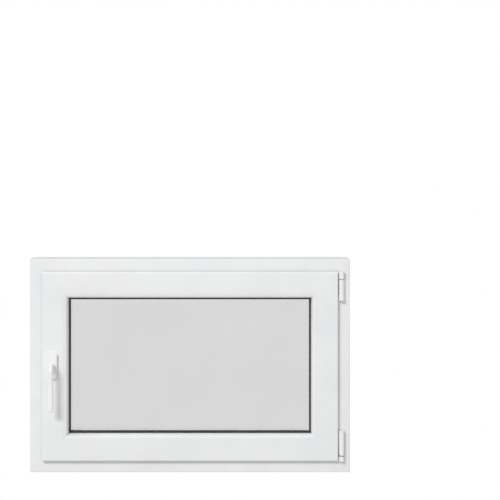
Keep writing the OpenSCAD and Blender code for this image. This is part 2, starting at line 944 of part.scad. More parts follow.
module rack() {
    teeth = floor(rack_half / tooth_pitch);
    half_pitch = (tooth_pitch / 2 - tooth_fit) / 2;
    rise = tan(pressure_angle);
    tip = half_pitch - (rack_tip_u - pitch_line_u) * rise;
    root = half_pitch + (pitch_line_u - rack_root_u) * rise;
    for (i = [-teeth:teeth - 1])
        translate([handle_s + (i + 0.5) * tooth_pitch, rod_d[0] + 1, 0])
            rotate([90, 0, 0])
                translate([0, 0, -8])
                    linear_extrude(8)
                        polygon([
                            [-root, rack_root_u - past], [root, rack_root_u - past],
                            [tip, rack_tip_u], [-tip, rack_tip_u]
                        ]);
}

module cam(s) {
    pin_z(cam_tip_u, rod_u[0] + 1, s, groove_axis_d, cam_stem_r);
    pin_z(cam_tip_u, cam_root_u, s, groove_axis_d, cam_r);
}

// slots that let the rod pass the fixed screws
module rod_slots(side) {
    for (place = sash_screws)
        if (place[0] == side)
            slot(place[1] - rod_travel - slot_fit, place[1] + slot_fit, place[2],
                 screw_r + slot_fit, rod_u[0] - 1, rod_u[1] + 1);
}

// the left rod, stepped to the teeth's root along the rack
module stepped_rod() {
    step = [handle_s - rack_half, handle_s + rack_half];
    translate([0, rod_d[1], 0])
        rotate([90, 0, 0])
            linear_extrude(rod_d[1] - rod_d[0])
                polygon([
                    [left_rod_s[0], rod_u[0]], [left_rod_s[1], rod_u[0]],
                    [left_rod_s[1], rod_u[1]], [step[1], rod_u[1]],
                    [step[1], rack_root_u], [step[0], rack_root_u],
                    [step[0], rod_u[1]], [left_rod_s[0], rod_u[1]]
                ]);
}

module left_drive_rod() {
    color(zinc)
        on_side(3) {
            difference() {
                stepped_rod();
                rod_slots(3);
            }
            rack();
            cam(upper_cam_s);
            cam(lower_cam_s);
        }
}

module short_rod(side, ends, cam_s) {
    color(zinc)
        on_side(side) {
            difference() {
                block([ends[0], rod_d[0], rod_u[0]], [ends[1], rod_d[1], rod_u[1]]);
                rod_slots(side);
            }
            cam(cam_s);
        }
}

module top_drive_rod() {
    short_rod(2, top_rod_s, head_cam_s);
}

module bottom_drive_rod() {
    short_rod(0, bottom_rod_s, tilt_cam_s);
}

// slot in a fixed plate for a cam's travel
module cam_slot(s) {
    slot(s - slot_fit, s + rod_travel + slot_fit, groove_axis_d, cam_stem_r + slot_fit,
         faceplate_u[0] - 1, faceplate_u[1] + 1);
}

module faceplate_left() {
    color(zinc)
        difference() {
            on_side(3)
                difference() {
                    block([corner_leg + sash_u + slot_fit - frame_height / 2, faceplate_d[0], faceplate_u[0]],
                          [frame_height / 2 - corner_leg - sash_u - slot_fit, faceplate_d[1], faceplate_u[1]]);
                    cam_slot(upper_cam_s);
                    cam_slot(lower_cam_s);
                }
            for (place = sash_screws) sash_screw_hole(place);
        }
}

// one leg of a corner drive, from the corner at s = start to s = end
module corner_leg_shape(start, end, open_from, open_to) {
    difference() {
        union() {
            block([start, faceplate_d[0], faceplate_u[0]], [end, faceplate_d[1], faceplate_u[1]]);
            block([start, 2.1, faceplate_u[0]], [end, 13.9, corner_inner_u]);
        }
        block([open_from, rod_d[0] - 0.2, faceplate_u[1]], [open_to, rod_d[1] + 0.2, rod_u[1] + 0.3]);
    }
}

module corner_drive_top() {
    left_start = sash_u - frame_height / 2;
    top_end = frame_width / 2 - sash_u;
    color(zinc)
        difference() {
            union() {
                on_side(3)
                    corner_leg_shape(left_start, left_start + corner_leg,
                                     left_rod_s[0] - 2, left_start + corner_leg + 1);
                on_side(2)
                    corner_leg_shape(top_end - corner_leg, top_end,
                                     top_end - corner_leg - 1, top_rod_s[1] + rod_travel + 2);
            }
            for (place = sash_screws) sash_screw_hole(place);
        }
}

module corner_drive_bottom() {
    left_end = frame_height / 2 - sash_u;
    bottom_start = sash_u - frame_width / 2;
    color(zinc)
        difference() {
            union() {
                on_side(3)
                    corner_leg_shape(left_end - corner_leg, left_end,
                                     left_end - corner_leg - 1, left_rod_s[1] + rod_travel + 2);
                on_side(0)
                    corner_leg_shape(bottom_start, bottom_start + corner_leg_long,
                                     bottom_rod_s[0] - 2, bottom_start + corner_leg_long + 1);
            }
            on_side(0) cam_slot(tilt_cam_s);
            for (place = sash_screws) sash_screw_hole(place);
        }
}

// top faceplate: slot for the cam, and the slot that the stay arm's pin slides in
module stay_guide() {
    guide_s = [-stay_reach_x - 15, -stay_reach_x + 10];
    color(zinc)
        difference() {
            on_side(2)
                difference() {
                    block([guide_s[0] - 25, faceplate_d[0], faceplate_u[0]],
                          [frame_width / 2 - sash_u - corner_leg - slot_fit, faceplate_d[1], faceplate_u[1]]);
                    cam_slot(head_cam_s);
                    slot(guide_s[0] + 4, guide_s[1] - 4, groove_axis_d, 4, faceplate_u[0] - 1, faceplate_u[1] + 1);
                }
            for (place = sash_screws) sash_screw_hole(place);
        }
}

module sash_hardware_screws() {
    color(zinc) {
        for (place = sash_screws) sash_screw(place, faceplate_u[0]);
        for (place = strap_screws) sash_screw(place, sash_u - plate);
    }
}

module frame_hardware_screws() {
    color(zinc) {
        for (place = frame_screws) frame_screw(place);
        for (z = [stay_bearing_z[0] + 9, stay_bearing_z[1] - 9]) {
            pin_d(-4, -3, hinge_x, z, screw_head_r);
            pin_d(-3, screw_bite, hinge_x, z, screw_r);
        }
    }
}

// ---------- handle ----------

// upright outline with fully rounded corners, drawn about the spindle
module rosette_outline(r) {
    half_w = rosette_width / 2 - r;
    half_h = rosette_height / 2 - r;
    translate([-half_w, -half_h - r]) square([2 * half_w, 2 * (half_h + r)]);
    translate([-half_w - r, -half_h]) square([2 * (half_w + r), 2 * half_h]);
    for (x = [-1, 1])
        for (y = [-1, 1])
            translate([x * half_w, y * half_h]) circle(r);
}

// children drawn in x and z, extruded from depth d0 to d1 about the spindle
module on_handle(d0, d1) {
    translate([spindle_x, d1, handle_height])
        rotate([90, 0, 0])
            linear_extrude(d1 - d0) children();
}

module handle_rosette() {
    color(pvc_white)
        difference() {
            on_handle(cap_d, rosette_d[1]) rosette_outline(8);
            pin_d(cap_d - 1, rosette_d[1] + 1, spindle_x, handle_height, lever_neck_r + running_fit);
            for (z = [-1, 1]) {
                pin_d(cap_d - 1, rosette_d[1] + 1, spindle_x,
                      handle_height + z * handle_screw_offset, 2.6);
                pin_d(cap_d - 1, cap_d + 4, spindle_x,
                      handle_height + z * handle_screw_offset, 4.8);
            }
        }
}

module rosette_cap() {
    color(pvc_white)
        difference() {
            on_handle(rosette_d[0], cap_d) rosette_outline(8);
            pin_d(rosette_d[0] - 1, cap_d + 1, spindle_x, handle_height, lever_neck_r + running_fit);
        }
}

module handle_screws() {
    color(zinc)
        for (z = [-1, 1]) {
            pin_d(cap_d + 4, housing_d[1] - 2, spindle_x, handle_height + z * handle_screw_offset, 2.45);
            pin_d(cap_d + 0.8, cap_d + 4, spindle_x, handle_height + z * handle_screw_offset, 4.6);
        }
}

module handle_lever() {
    half = lever_width / 2;
    color(pvc_white)
        difference() {
            union() {
                pin_d(lever_d[0] + 4, rosette_d[1] - 0.5, spindle_x, handle_height, lever_neck_r);
                on_handle(lever_d[0], lever_d[1]) {
                    translate([-half, half - lever_length]) square([lever_width, lever_length - half]);
                    translate([0, half - lever_length]) circle(half);
                    circle(lever_neck_r);
                }
            }
            translate([spindle_x - square_hole / 2, -48, handle_height - square_hole / 2])
                cube([square_hole, 48, square_hole]);
        }
}

module handle_spindle() {
    color(zinc)
        translate([spindle_x - spindle / 2, -46, handle_height - spindle / 2])
            cube([spindle, 46 + housing_d[1], spindle]);
}

window() {
    frame_sill();
    frame_jamb_right();
    frame_head();
    frame_jamb_left();
    frame_steel_rails();
    frame_steel_jambs();
    frame_gasket();
    drainage_caps();
    striker_upper();
    striker_lower();
    striker_head();
    tilt_keep();
    lower_bearing_bracket();
    lower_bearing_cover();
    stay_bearing();
    stay_bearing_pin();
    stay_bearing_cover();
    frame_hardware_screws();
    hinge_swivel();
    sash_bottom();
    sash_right();
    sash_top();
    sash_left();
    sash_steel_rails();
    sash_steel_stiles();
    sash_gasket();
    bead_bottom();
    bead_right();
    bead_top();
    bead_left();
    glazing_gasket_inner();
    glazing_gasket_outer();
    glass_inner();
    glass_outer();
    glass_spacer();
    glass_edge_seal();
    glazing_blocks();
    sash_hinge_strap();
    tilt_axle();
    sash_hinge_cover();
    gearbox_housing();
    faceplate_left();
    corner_drive_top();
    corner_drive_bottom();
    stay_guide();
    sash_hardware_screws();
    handle_rosette();
    rosette_cap();
    handle_screws();
    handle_lever();
    handle_spindle();
    drive_pinion();
    left_drive_rod();
    top_drive_rod();
    bottom_drive_rod();
    stay_arm();
    stay_arm_pin();
    stay_arm_cap();
}
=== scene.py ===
"""Looks for a small white tilt-and-turn casement window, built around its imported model."""

import json
import math

import bmesh
import bpy
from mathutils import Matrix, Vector


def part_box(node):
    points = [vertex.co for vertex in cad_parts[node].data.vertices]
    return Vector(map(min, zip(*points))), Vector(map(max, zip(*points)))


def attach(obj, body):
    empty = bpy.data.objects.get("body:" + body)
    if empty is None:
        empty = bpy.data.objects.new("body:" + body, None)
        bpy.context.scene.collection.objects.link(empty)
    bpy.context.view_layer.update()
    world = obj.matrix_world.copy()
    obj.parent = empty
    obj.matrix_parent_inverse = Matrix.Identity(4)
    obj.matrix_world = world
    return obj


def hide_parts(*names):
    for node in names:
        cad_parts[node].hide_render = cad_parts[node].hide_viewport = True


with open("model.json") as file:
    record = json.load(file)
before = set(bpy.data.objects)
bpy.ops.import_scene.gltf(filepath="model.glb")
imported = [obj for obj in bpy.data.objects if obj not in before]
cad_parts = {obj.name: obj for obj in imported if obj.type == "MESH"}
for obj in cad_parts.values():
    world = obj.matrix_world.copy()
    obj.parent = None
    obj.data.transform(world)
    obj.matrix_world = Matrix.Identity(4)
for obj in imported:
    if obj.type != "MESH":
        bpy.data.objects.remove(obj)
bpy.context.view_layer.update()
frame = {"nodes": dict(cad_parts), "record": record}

MM = 0.001
RECORD = frame["record"]
NODE_SLOT = {row["node"]: row["material_slot"] for row in RECORD["subparts"]}
NODE_BODY = {
    node: body for body, nodes in RECORD["behaviour"]["bodies"].items() for node in nodes
}

# ---------------------------------------------------------------- measures

SILL_LOW, SILL_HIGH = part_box("frame_sill")
WIDTH = SILL_HIGH.x - SILL_LOW.x
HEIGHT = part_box("frame_head")[1].z
SPINDLE = (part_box("handle_spindle")[0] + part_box("handle_spindle")[1]) / 2
LEVER_LOW, LEVER_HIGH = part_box("handle_lever")
# vertices closer than this are one
WELD = 0.002 * MM
# a way along an axis has at least this share of its length there
PARALLEL = 0.999


# ---------------------------------------------------------------- helpers


def srgb(code):
    """The linear colour of an sRGB hex value."""
    shares = [int(code[i : i + 2], 16) / 255 for i in (1, 3, 5)]
    linear = [s / 12.92 if s <= 0.04045 else ((s + 0.055) / 1.055) ** 2.4 for s in shares]
    return (*linear, 1.0)


def add(tree, kind, values=None, links=None, **settings):
    """Adds a node with its settings, its inputs' values and its links."""
    made = tree.nodes.new(kind)
    for name, value in settings.items():
        setattr(made, name, value)
    for name, value in (values or {}).items():
        made.inputs[name].default_value = value
    for name, source in (links or {}).items():
        tree.links.new(source, made.inputs[name])
    return made


def link(name, mesh):
    """A new object at the origin that holds the mesh."""
    piece = bpy.data.objects.new(name, mesh)
    bpy.context.scene.collection.objects.link(piece)
    return piece


def settle(piece):
    """Turns the piece's modifiers into a plain mesh."""
    bpy.context.view_layer.update()
    evaluated = piece.evaluated_get(bpy.context.evaluated_depsgraph_get())
    mesh = bpy.data.meshes.new_from_object(evaluated)
    piece.modifiers.clear()
    piece.data = mesh


def stand_for(piece, node):
    """Puts a finished piece in a CAD node's place, under the node's body, and hides the node."""
    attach(piece, NODE_BODY[node])
    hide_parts(node)


# ---------------------------------------------------------------- materials


def blank_material(name):
    """A new material with an empty node tree."""
    material = bpy.data.materials.new(name)
    material.use_nodes = True
    material.node_tree.nodes.clear()
    return material


def surface(name, build):
    """A material whose Principled shader gets what build returns: values and links."""
    material = blank_material(name)
    tree = material.node_tree
    place = add(tree, "ShaderNodeTexCoord").outputs["Object"]
    values, links = build(tree, place)
    shader = add(tree, "ShaderNodeBsdfPrincipled", values, links)
    add(tree, "ShaderNodeOutputMaterial", links={"Surface": shader.outputs["BSDF"]})
    return material


def stretched(tree, place, scale):
    """Object coordinates scaled by axis, to draw a pattern out along one of them."""
    return add(tree, "ShaderNodeMapping", {"Scale": scale}, {"Vector": place}).outputs["Vector"]


def grain(tree, place, size, detail=2.0, roughness=0.5):
    """Noise whose features are about the given size in metres."""
    values = {"Scale": 1 / size, "Detail": detail, "Roughness": roughness}
    return add(tree, "ShaderNodeTexNoise", values, {"Vector": place}).outputs["Fac"]


def shades(tree, share, dark, light, low=0.3, high=0.7):
    """A colour that runs from dark to light as share runs from low to high."""
    ramp = add(tree, "ShaderNodeValToRGB", links={"Fac": share})
    ramp.color_ramp.elements[0].position = low
    ramp.color_ramp.elements[0].color = srgb(dark)
    ramp.color_ramp.elements[1].position = high
    ramp.color_ramp.elements[1].color = srgb(light)
    return ramp.outputs["Color"]


def spread(tree, share, low, high):
    """The share mapped from 0.3 to 0.7 onto low to high."""
    values = {"From Min": 0.3, "From Max": 0.7, "To Min": low, "To Max": high}
    return add(tree, "ShaderNodeMapRange", values, {"Value": share}).outputs["Result"]


def relief(tree, share, height):
    """A bump whose full depth is the given height in metres."""
    values = {"Strength": 1.0, "Distance": height}
    return add(tree, "ShaderNodeBump", values, {"Height": share}).outputs["Normal"]


def extruded_pvc(along):
    """White PVC-U out of an extrusion die: satin, with faint die lines along the bar."""

    def build(tree, place):
        # real die lines are about 0.3 mm apart; these are wider so that they show
        line_gap = 1.4 * MM
        line_length = 600 * MM
        scale = [1 / line_gap] * 3
        scale[along] = 1 / line_length
        lines = grain(tree, stretched(tree, place, scale), 1.0)
        clouds = grain(tree, place, 90 * MM)
        colour = shades(tree, clouds, "#f0f1f3", "#f5f6f7")
        return (
            {"IOR": 1.54, "Specular IOR Level": 0.5},
            {
                "Base Color": colour,
                "Roughness": spread(tree, lines, 0.27, 0.37),
                "Normal": relief(tree, lines, 0.002 * MM),
            },
        )

    return build


def moulded_asa(tree, place):
    """White injection-moulded ASA of the hinge covers: smoother than the bars."""
    texture = grain(tree, place, 0.9 * MM)
    clouds = grain(tree, place, 25 * MM)
    return (
        {"IOR": 1.52},
        {
            "Base Color": shades(tree, clouds, "#f2f3f4", "#f7f7f8"),
            "Roughness": spread(tree, texture, 0.24, 0.34),
            "Normal": relief(tree, texture, 0.0008 * MM),
        },
    )


def powder_coat(tree, place):
    """White polyester powder coat on die-cast aluminium: glossy, with orange peel."""
    # orange peel has waves of 1 to 2 mm
    wave = 1.6 * MM
    peel = grain(tree, place, wave, detail=1.0)
    clouds = grain(tree, place, 20 * MM)
    return (
        {"IOR": 1.5, "Coat Weight": 0.25, "Coat Roughness": 0.12},
        {
            "Base Color": shades(tree, clouds, "#f7f7f8", "#fbfbfb"),
            "Roughness": spread(tree, peel, 0.22, 0.3),
            "Normal": relief(tree, peel, 0.0015 * MM),
        },
    )


def epdm_rubber(tree, place):
    """Black EPDM seal: matt, greyed a little by bloom, with fine extrusion grain."""
    bloom = grain(tree, place, 30 * MM, detail=4.0)
    pores = grain(tree, place, 0.5 * MM)
    return (
        {"IOR": 1.5, "Specular IOR Level": 0.4},
        {
            "Base Color": shades(tree, bloom, "#2b2c2e", "#343537"),
            "Roughness": spread(tree, pores, 0.55, 0.72),
            "Normal": relief(tree, pores, 0.02 * MM),
        },
    )


def butyl(tree, place):
    """Black polysulphide and butyl edge seal, spread by hand-guided nozzle."""
    lumps = grain(tree, place, 5 * MM, detail=3.0)
    return (
        {"IOR": 1.5},
        {
            "Base Color": shades(tree, lumps, "#141517", "#1c1d1f"),
            "Roughness": spread(tree, lumps, 0.5, 0.75),
            "Normal": relief(tree, lumps, 0.15 * MM),
        },
    )


def zinc_plate(tree, place):
    """Pressed steel with silver passivated zinc: even sheen with faint rolling marks."""
    marks = grain(tree, stretched(tree, place, (1, 1, 0.06)), 0.7 * MM)
    haze = grain(tree, place, 12 * MM, detail=3.0)
    return (
        {"Metallic": 1.0},
        {
            "Base Color": shades(tree, haze, "#c3c7ca", "#d6d8d8"),
            "Roughness": spread(tree, marks, 0.26, 0.42),
            "Normal": relief(tree, marks, 0.005 * MM),
        },
    )


def galvanised_sheet(tree, place):
    """Hot-dip galvanised reinforcement: dull grey with a crystal spangle."""
    # spangles are 4 to 10 mm across
    spangle = 7 * MM
    cells = add(tree, "ShaderNodeTexVoronoi", {"Scale": 1 / spangle}, {"Vector": place})
    share = add(tree, "ShaderNodeSeparateColor", links={"Color": cells.outputs["Color"]})
    return (
        {"Metallic": 1.0},
        {
            "Base Color": shades(tree, share.outputs["Red"], "#a3a9ac", "#bcc1c3", 0.0, 1.0),
            "Roughness": spread(tree, share.outputs["Green"], 0.38, 0.5),
        },
    )


def mill_aluminium(tree, place):
    """Roll-formed spacer bar: bright aluminium with drawing lines."""
    lines = grain(tree, stretched(tree, place, (0.03, 1, 0.03)), 0.4 * MM)
    return (
        {"Metallic": 1.0},
        {
            "Base Color": shades(tree, lines, "#c8cacc", "#d9dadb"),
            "Roughness": spread(tree, lines, 0.25, 0.4),
        },
    )


def packer_plastic(tree, place):
    """Blue polypropylene glazing packers, moulded with a matt face."""
    texture = grain(tree, place, 1.1 * MM)
    return (
        {"IOR": 1.49},
        {
            "Base Color": shades(tree, texture, "#1f4390", "#2850a3"),
            "Roughness": spread(tree, texture, 0.45, 0.6),
            "Normal": relief(tree, texture, 0.03 * MM),
        },
    )


def float_glass():
    """Clear float glass with the slight grey-green of its iron; lamps reach through it."""
    material = blank_material("glass_float_clear")
    tree = material.node_tree
    place = add(tree, "ShaderNodeTexCoord").outputs["Object"]
    film = grain(tree, place, 160 * MM)
    glass = add(
        tree,
        "ShaderNodeBsdfPrincipled",
        {"IOR": 1.52, "Roughness": 0.0, "Transmission Weight": 1.0},
        {"Base Color": shades(tree, film, "#f6f6f6", "#f8f8f8")},
    )
    clear = add(tree, "ShaderNodeBsdfTransparent", {"Color": srgb("#f0f3f2")})
    ray = add(tree, "ShaderNodeLightPath").outputs["Is Shadow Ray"]
    both = add(
        tree,
        "ShaderNodeMixShader",
        links={0: ray, 1: glass.outputs["BSDF"], 2: clear.outputs["BSDF"]},
    )
    add(tree, "ShaderNodeOutputMaterial", links={"Surface": both.outputs["Shader"]})
    return material


ALONG_X = 0
ALONG_Z = 2
PVC_RAILS = surface("pvc_extruded_rails", extruded_pvc(ALONG_X))
PVC_STILES = surface("pvc_extruded_stiles", extruded_pvc(ALONG_Z))
COVER_ASA = surface("asa_moulded_white", moulded_asa)
HANDLE_COAT = surface("aluminium_powder_coated_white", powder_coat)
SEAL_EPDM = surface("epdm_seal_black", epdm_rubber)
EDGE_BUTYL = surface("butyl_edge_seal", butyl)
ZINC = surface("steel_zinc_plated", zinc_plate)
GALVANISED = surface("steel_galvanised", galvanised_sheet)
SPACER = surface("aluminium_roll_formed", mill_aluminium)
PACKER = surface("polypropylene_packer_blue", packer_plastic)
GLASS = float_glass()

SLOT_MATERIALS = {
    "white_pvc": PVC_RAILS,
    "white_cover_plastic": COVER_ASA,
    "white_handle_paint": HANDLE_COAT,
    "black_gasket": SEAL_EPDM,
    "clear_glass": GLASS,
    "spacer_aluminium": SPACER,
    "black_edge_seal": EDGE_BUTYL,
    "block_plastic": PACKER,
    "plated_screws": ZINC,
    "galvanised_steel": GALVANISED,
    "zinc_hardware": ZINC,
}


def bar_axis(node):
    """The axis that a bar runs along, told from its name."""
    upright = any(word in node for word in ("jamb", "right", "left"))
    return ALONG_Z if upright else ALONG_X


def finish_of(node):
    """The material of a CAD node: upright bars have their die lines upright."""
    slot = NODE_SLOT[node]
    if slot == "white_pvc" and bar_axis(node) == ALONG_Z:
        return PVC_STILES
    return SLOT_MATERIALS[slot]


for node, thing in frame["nodes"].items():
    for place in thing.material_slots:
        place.link = "OBJECT"
        place.material = finish_of(node)


# ---------------------------------------------------------------- softened edges

FLAT_ANGLE = math.radians(1)
EDGE_ANGLE = math.radians(33)
# how wide each kind of piece has its edges rounded
FRAME_ARRIS = 0.6 * MM
SASH_ARRIS = 0.4 * MM
BEAD_ARRIS = 0.3 * MM
MOULDED_ARRIS = 0.3 * MM
DRAIN_ARRIS = 0.6 * MM
ROSETTE_CAP_ARRIS = 1.2 * MM
PRESSED_ARRIS = 0.25 * MM


def softened(node, width, segments=2, along=None):
    """Stands for a CAD node with its sharp edges rounded by the given width.

    With an axis given, only the edges along it are rounded, which keeps a bar's mitres flush.
    """
    mesh = frame["nodes"][node].data.copy()
    mesh.materials.clear()
    mesh.materials.append(finish_of(node))
    for name in ("custom_normal", "sharp_edge", "sharp_face"):
        if name in mesh.attributes:
            mesh.attributes.remove(mesh.attributes[name])
    shape = bmesh.new()
    shape.from_mesh(mesh)
    bmesh.ops.remove_doubles(shape, verts=shape.verts, dist=WELD)
    bmesh.ops.dissolve_limit(
        shape, angle_limit=FLAT_ANGLE, verts=shape.verts, edges=shape.edges
    )
    weight = shape.edges.layers.float.new("bevel_weight_edge")
    for edge in shape.edges:
        if len(edge.link_faces) != 2 or edge.calc_face_angle() < EDGE_ANGLE:
            continue
        way = edge.verts[1].co - edge.verts[0].co
        lies_along = along is None or abs(way[along]) > PARALLEL * way.length
        if lies_along and way.length > 2 * width:
            edge[weight] = 1.0
        else:
            edge.smooth = False
    for face in shape.faces:
        face.smooth = True
    shape.to_mesh(mesh)
    shape.free()
    piece = link(node + "_eased", mesh)
    bevel = piece.modifiers.new("edges", "BEVEL")
    bevel.width = width
    bevel.segments = segments
    bevel.limit_method = "WEIGHT"
    bevel.use_clamp_overlap = False
    bevel.harden_normals = True
    settle(piece)
    stand_for(piece, node)


for node in ("frame_sill", "frame_jamb_right", "frame_head", "frame_jamb_left"):
    softened(node, FRAME_ARRIS, along=bar_axis(node))
for side in ("bottom", "right", "top", "left"):
    softened("sash_" + side, SASH_ARRIS, along=bar_axis(side))
    softened("bead_" + side, BEAD_ARRIS, along=bar_axis(side))
for node in ("lower_bearing_cover", "stay_bearing_cover", "sash_hinge_cover", "stay_arm_cap"):
    softened(node, MOULDED_ARRIS)
softened("drainage_caps", DRAIN_ARRIS)
softened("handle_rosette", MOULDED_ARRIS)
softened("rosette_cap", ROSETTE_CAP_ARRIS, segments=4)
for node in (
    "striker_upper",
    "striker_lower",
    "striker_head",
    "tilt_keep",
    "lower_bearing_bracket",
    "stay_bearing",
    "sash_hinge_strap",
    "faceplate_left",
    "corner_drive_top",
    "corner_drive_bottom",
    "stay_guide",
    "stay_arm",
):
    softened(node, PRESSED_ARRIS)


# ---------------------------------------------------------------- lever

NECK_HALF = 8 * MM
ELBOW_RADIUS = 12 * MM
GRIP_ROOT_HALF = 6.3 * MM
GRIP_DEPTH_HALF = 5.6 * MM
GRIP_END = 7 * MM
# room left inside the CAD lever's box
SIDE_MARGIN = 0.5 * MM
FRONT_MARGIN = 0.2 * MM
# superellipse powers of the neck's and the grip's sections
ROUND = 2.0
SQUARED = 2.7
# the grip reaches its full width this much sooner than its end
SWELL_RATE = 1.15
# shares of the grip's half sizes that are left at the very tip
TIP_WIDTH = 0.45
TIP_DEPTH = 0.35
NECK_STEPS = 6
ELBOW_STEPS = 10
GRIP_STEPS = 22
END_STEPS = 8
RING_POINTS = 40


def superellipse(half_a, half_b, power):
    """Points round a rounded-square section."""
    points = []
    for i in range(RING_POINTS):
        turn = 2 * math.pi * i / RING_POINTS
        c = math.cos(turn)
        s = math.sin(turn)
        a = half_a * math.copysign(abs(c) ** (2 / power), c)
        b = half_b * math.copysign(abs(s) ** (2 / power), s)
        points.append((a, b))
    return points


def lever_rings():
    """The lever's rings: middle, direction, half width, half depth and power of each."""
    x = SPINDLE.x
    top = SPINDLE.z
    end = LEVER_LOW.z
    front = LEVER_LOW.y + GRIP_DEPTH_HALF + FRONT_MARGIN
    grip_half = (LEVER_HIGH.x - LEVER_LOW.x - SIDE_MARGIN) / 2
    outward = Vector((0, -1, 0))
    down = Vector((0, 0, -1))
    rings = []

    neck_from = LEVER_HIGH.y
    neck_to = front + ELBOW_RADIUS
    for i in range(NECK_STEPS + 1):
        y = neck_from + (neck_to - neck_from) * i / NECK_STEPS
        rings.append((Vector((x, y, top)), outward, NECK_HALF, NECK_HALF, ROUND))

    for i in range(1, ELBOW_STEPS + 1):
        turn = math.pi / 2 * i / ELBOW_STEPS
        share = i / ELBOW_STEPS
        y = neck_to - ELBOW_RADIUS * math.sin(turn)
        z = top - ELBOW_RADIUS * (1 - math.cos(turn))
        way = Vector((0, -math.cos(turn), -math.sin(turn)))
        half_a = NECK_HALF + (GRIP_ROOT_HALF - NECK_HALF) * share
        half_b = NECK_HALF + (GRIP_DEPTH_HALF - NECK_HALF) * share
        power = ROUND + (SQUARED - ROUND) * share
        rings.append((Vector((x, y, z)), way, half_a, half_b, power))

    grip_from = top - ELBOW_RADIUS
    grip_to = end + GRIP_END
    for i in range(1, GRIP_STEPS + 1):
        share = i / GRIP_STEPS
        z = grip_from + (grip_to - grip_from) * share
        swell = 0.5 - 0.5 * math.cos(math.pi * min(1.0, share * SWELL_RATE))
        half_a = GRIP_ROOT_HALF + (grip_half - GRIP_ROOT_HALF) * swell
        rings.append((Vector((x, front, z)), down, half_a, GRIP_DEPTH_HALF, SQUARED))

    # the last ring stops short of the pole, so that it still has a size
    to_pole = END_STEPS + 0.35
    for i in range(1, END_STEPS + 1):
        turn = math.pi / 2 * i / to_pole
        z = grip_to - GRIP_END * math.sin(turn)
        half_a = grip_half * (TIP_WIDTH + (1 - TIP_WIDTH) * math.cos(turn))
        half_b = GRIP_DEPTH_HALF * (TIP_DEPTH + (1 - TIP_DEPTH) * math.cos(turn))
        rings.append((Vector((x, front, z)), down, half_a, half_b, SQUARED))
    return rings


def lever():
    """Cast lever: round neck, tight elbow, and a grip that swells to a rounded end."""
    across = Vector((1, 0, 0))
    shape = bmesh.new()
    loops = []
    for spot, way, half_a, half_b, power in lever_rings():
        up = way.cross(across)
        section = superellipse(half_a, half_b, power)
        loops.append([shape.verts.new(spot + across * a + up * b) for a, b in section])
    for one, two in zip(loops, loops[1:]):
        for i in range(RING_POINTS):
            j = (i + 1) % RING_POINTS
            shape.faces.new((one[i], one[j], two[j], two[i]))
    shape.faces.new(loops[0])
    shape.faces.new(loops[-1])
    bmesh.ops.recalc_face_normals(shape, faces=shape.faces)
    mesh = bpy.data.meshes.new("lever")
    shape.to_mesh(mesh)
    shape.free()
    mesh.shade_smooth()
    mesh.materials.append(HANDLE_COAT)
    piece = link("handle_lever_cast", mesh)
    smooth = piece.modifiers.new("smooth", "SUBSURF")
    smooth.levels = 1
    smooth.render_levels = 1
    settle(piece)
    stand_for(piece, "handle_lever")


lever()


# ---------------------------------------------------------------- node groups


def start_group(name, sizes):
    """A group that takes geometry, named sizes and a material; with its inputs' sockets."""
    tree = bpy.data.node_groups.new(name, "GeometryNodeTree")
    face = tree.interface
    face.new_socket("Geometry", in_out="INPUT", socket_type="NodeSocketGeometry")
    for label, size in sizes.items():
        made = face.new_socket(label, in_out="INPUT", socket_type="NodeSocketFloat")
        made.default_value = size
    face.new_socket("Material", in_out="INPUT", socket_type="NodeSocketMaterial")
    face.new_socket("Geometry", in_out="OUTPUT", socket_type="NodeSocketGeometry")
    return tree, add(tree, "NodeGroupInput").outputs


def end_group(tree, geometry, material):
    """Puts the material on the geometry and hands it out."""
    whole = add(tree, "GeometryNodeRealizeInstances", links={"Geometry": geometry})
    painted = add(
        tree,
        "GeometryNodeSetMaterial",
        links={"Geometry": whole.outputs["Geometry"], "Material": material},
    )
    add(tree, "NodeGroupOutput", links={"Geometry": painted.outputs["Geometry"]})


def run_group(piece, tree, values):
    """Runs the group on the piece with the named values, and keeps the result as a mesh."""
    made = piece.modifiers.new("nodes", "NODES")
    made.node_group = tree
    for item in tree.interface.items_tree:
        if item.in_out == "INPUT" and item.name in values:
            made[item.identifier] = values[item.name]
    settle(piece)


# ---------------------------------------------------------------- seals swept round the opening

# these edges are inset from the frame's outside
BEAD_EDGE = 109.2 * MM
SIGHT_EDGE = 114.3 * MM
LEG_EDGE = 110.5 * MM
OUTER_SIGHT_EDGE = 111.5 * MM
# the lip against the glass, and the slope from it to the bead
LIP_THICK = 1.1 * MM
SLOPE_RUN = 1.2 * MM
SLOPE_RISE = 0.2 * MM
TUCK = 0.4 * MM
# the chamfer of the outer seal's leg
LEG_CHAMFER_INSET = 0.4 * MM
LEG_CHAMFER_DEPTH = 0.3 * MM
SEAL_ROUND = 0.6 * MM
SEAL_CREASE = math.radians(50)


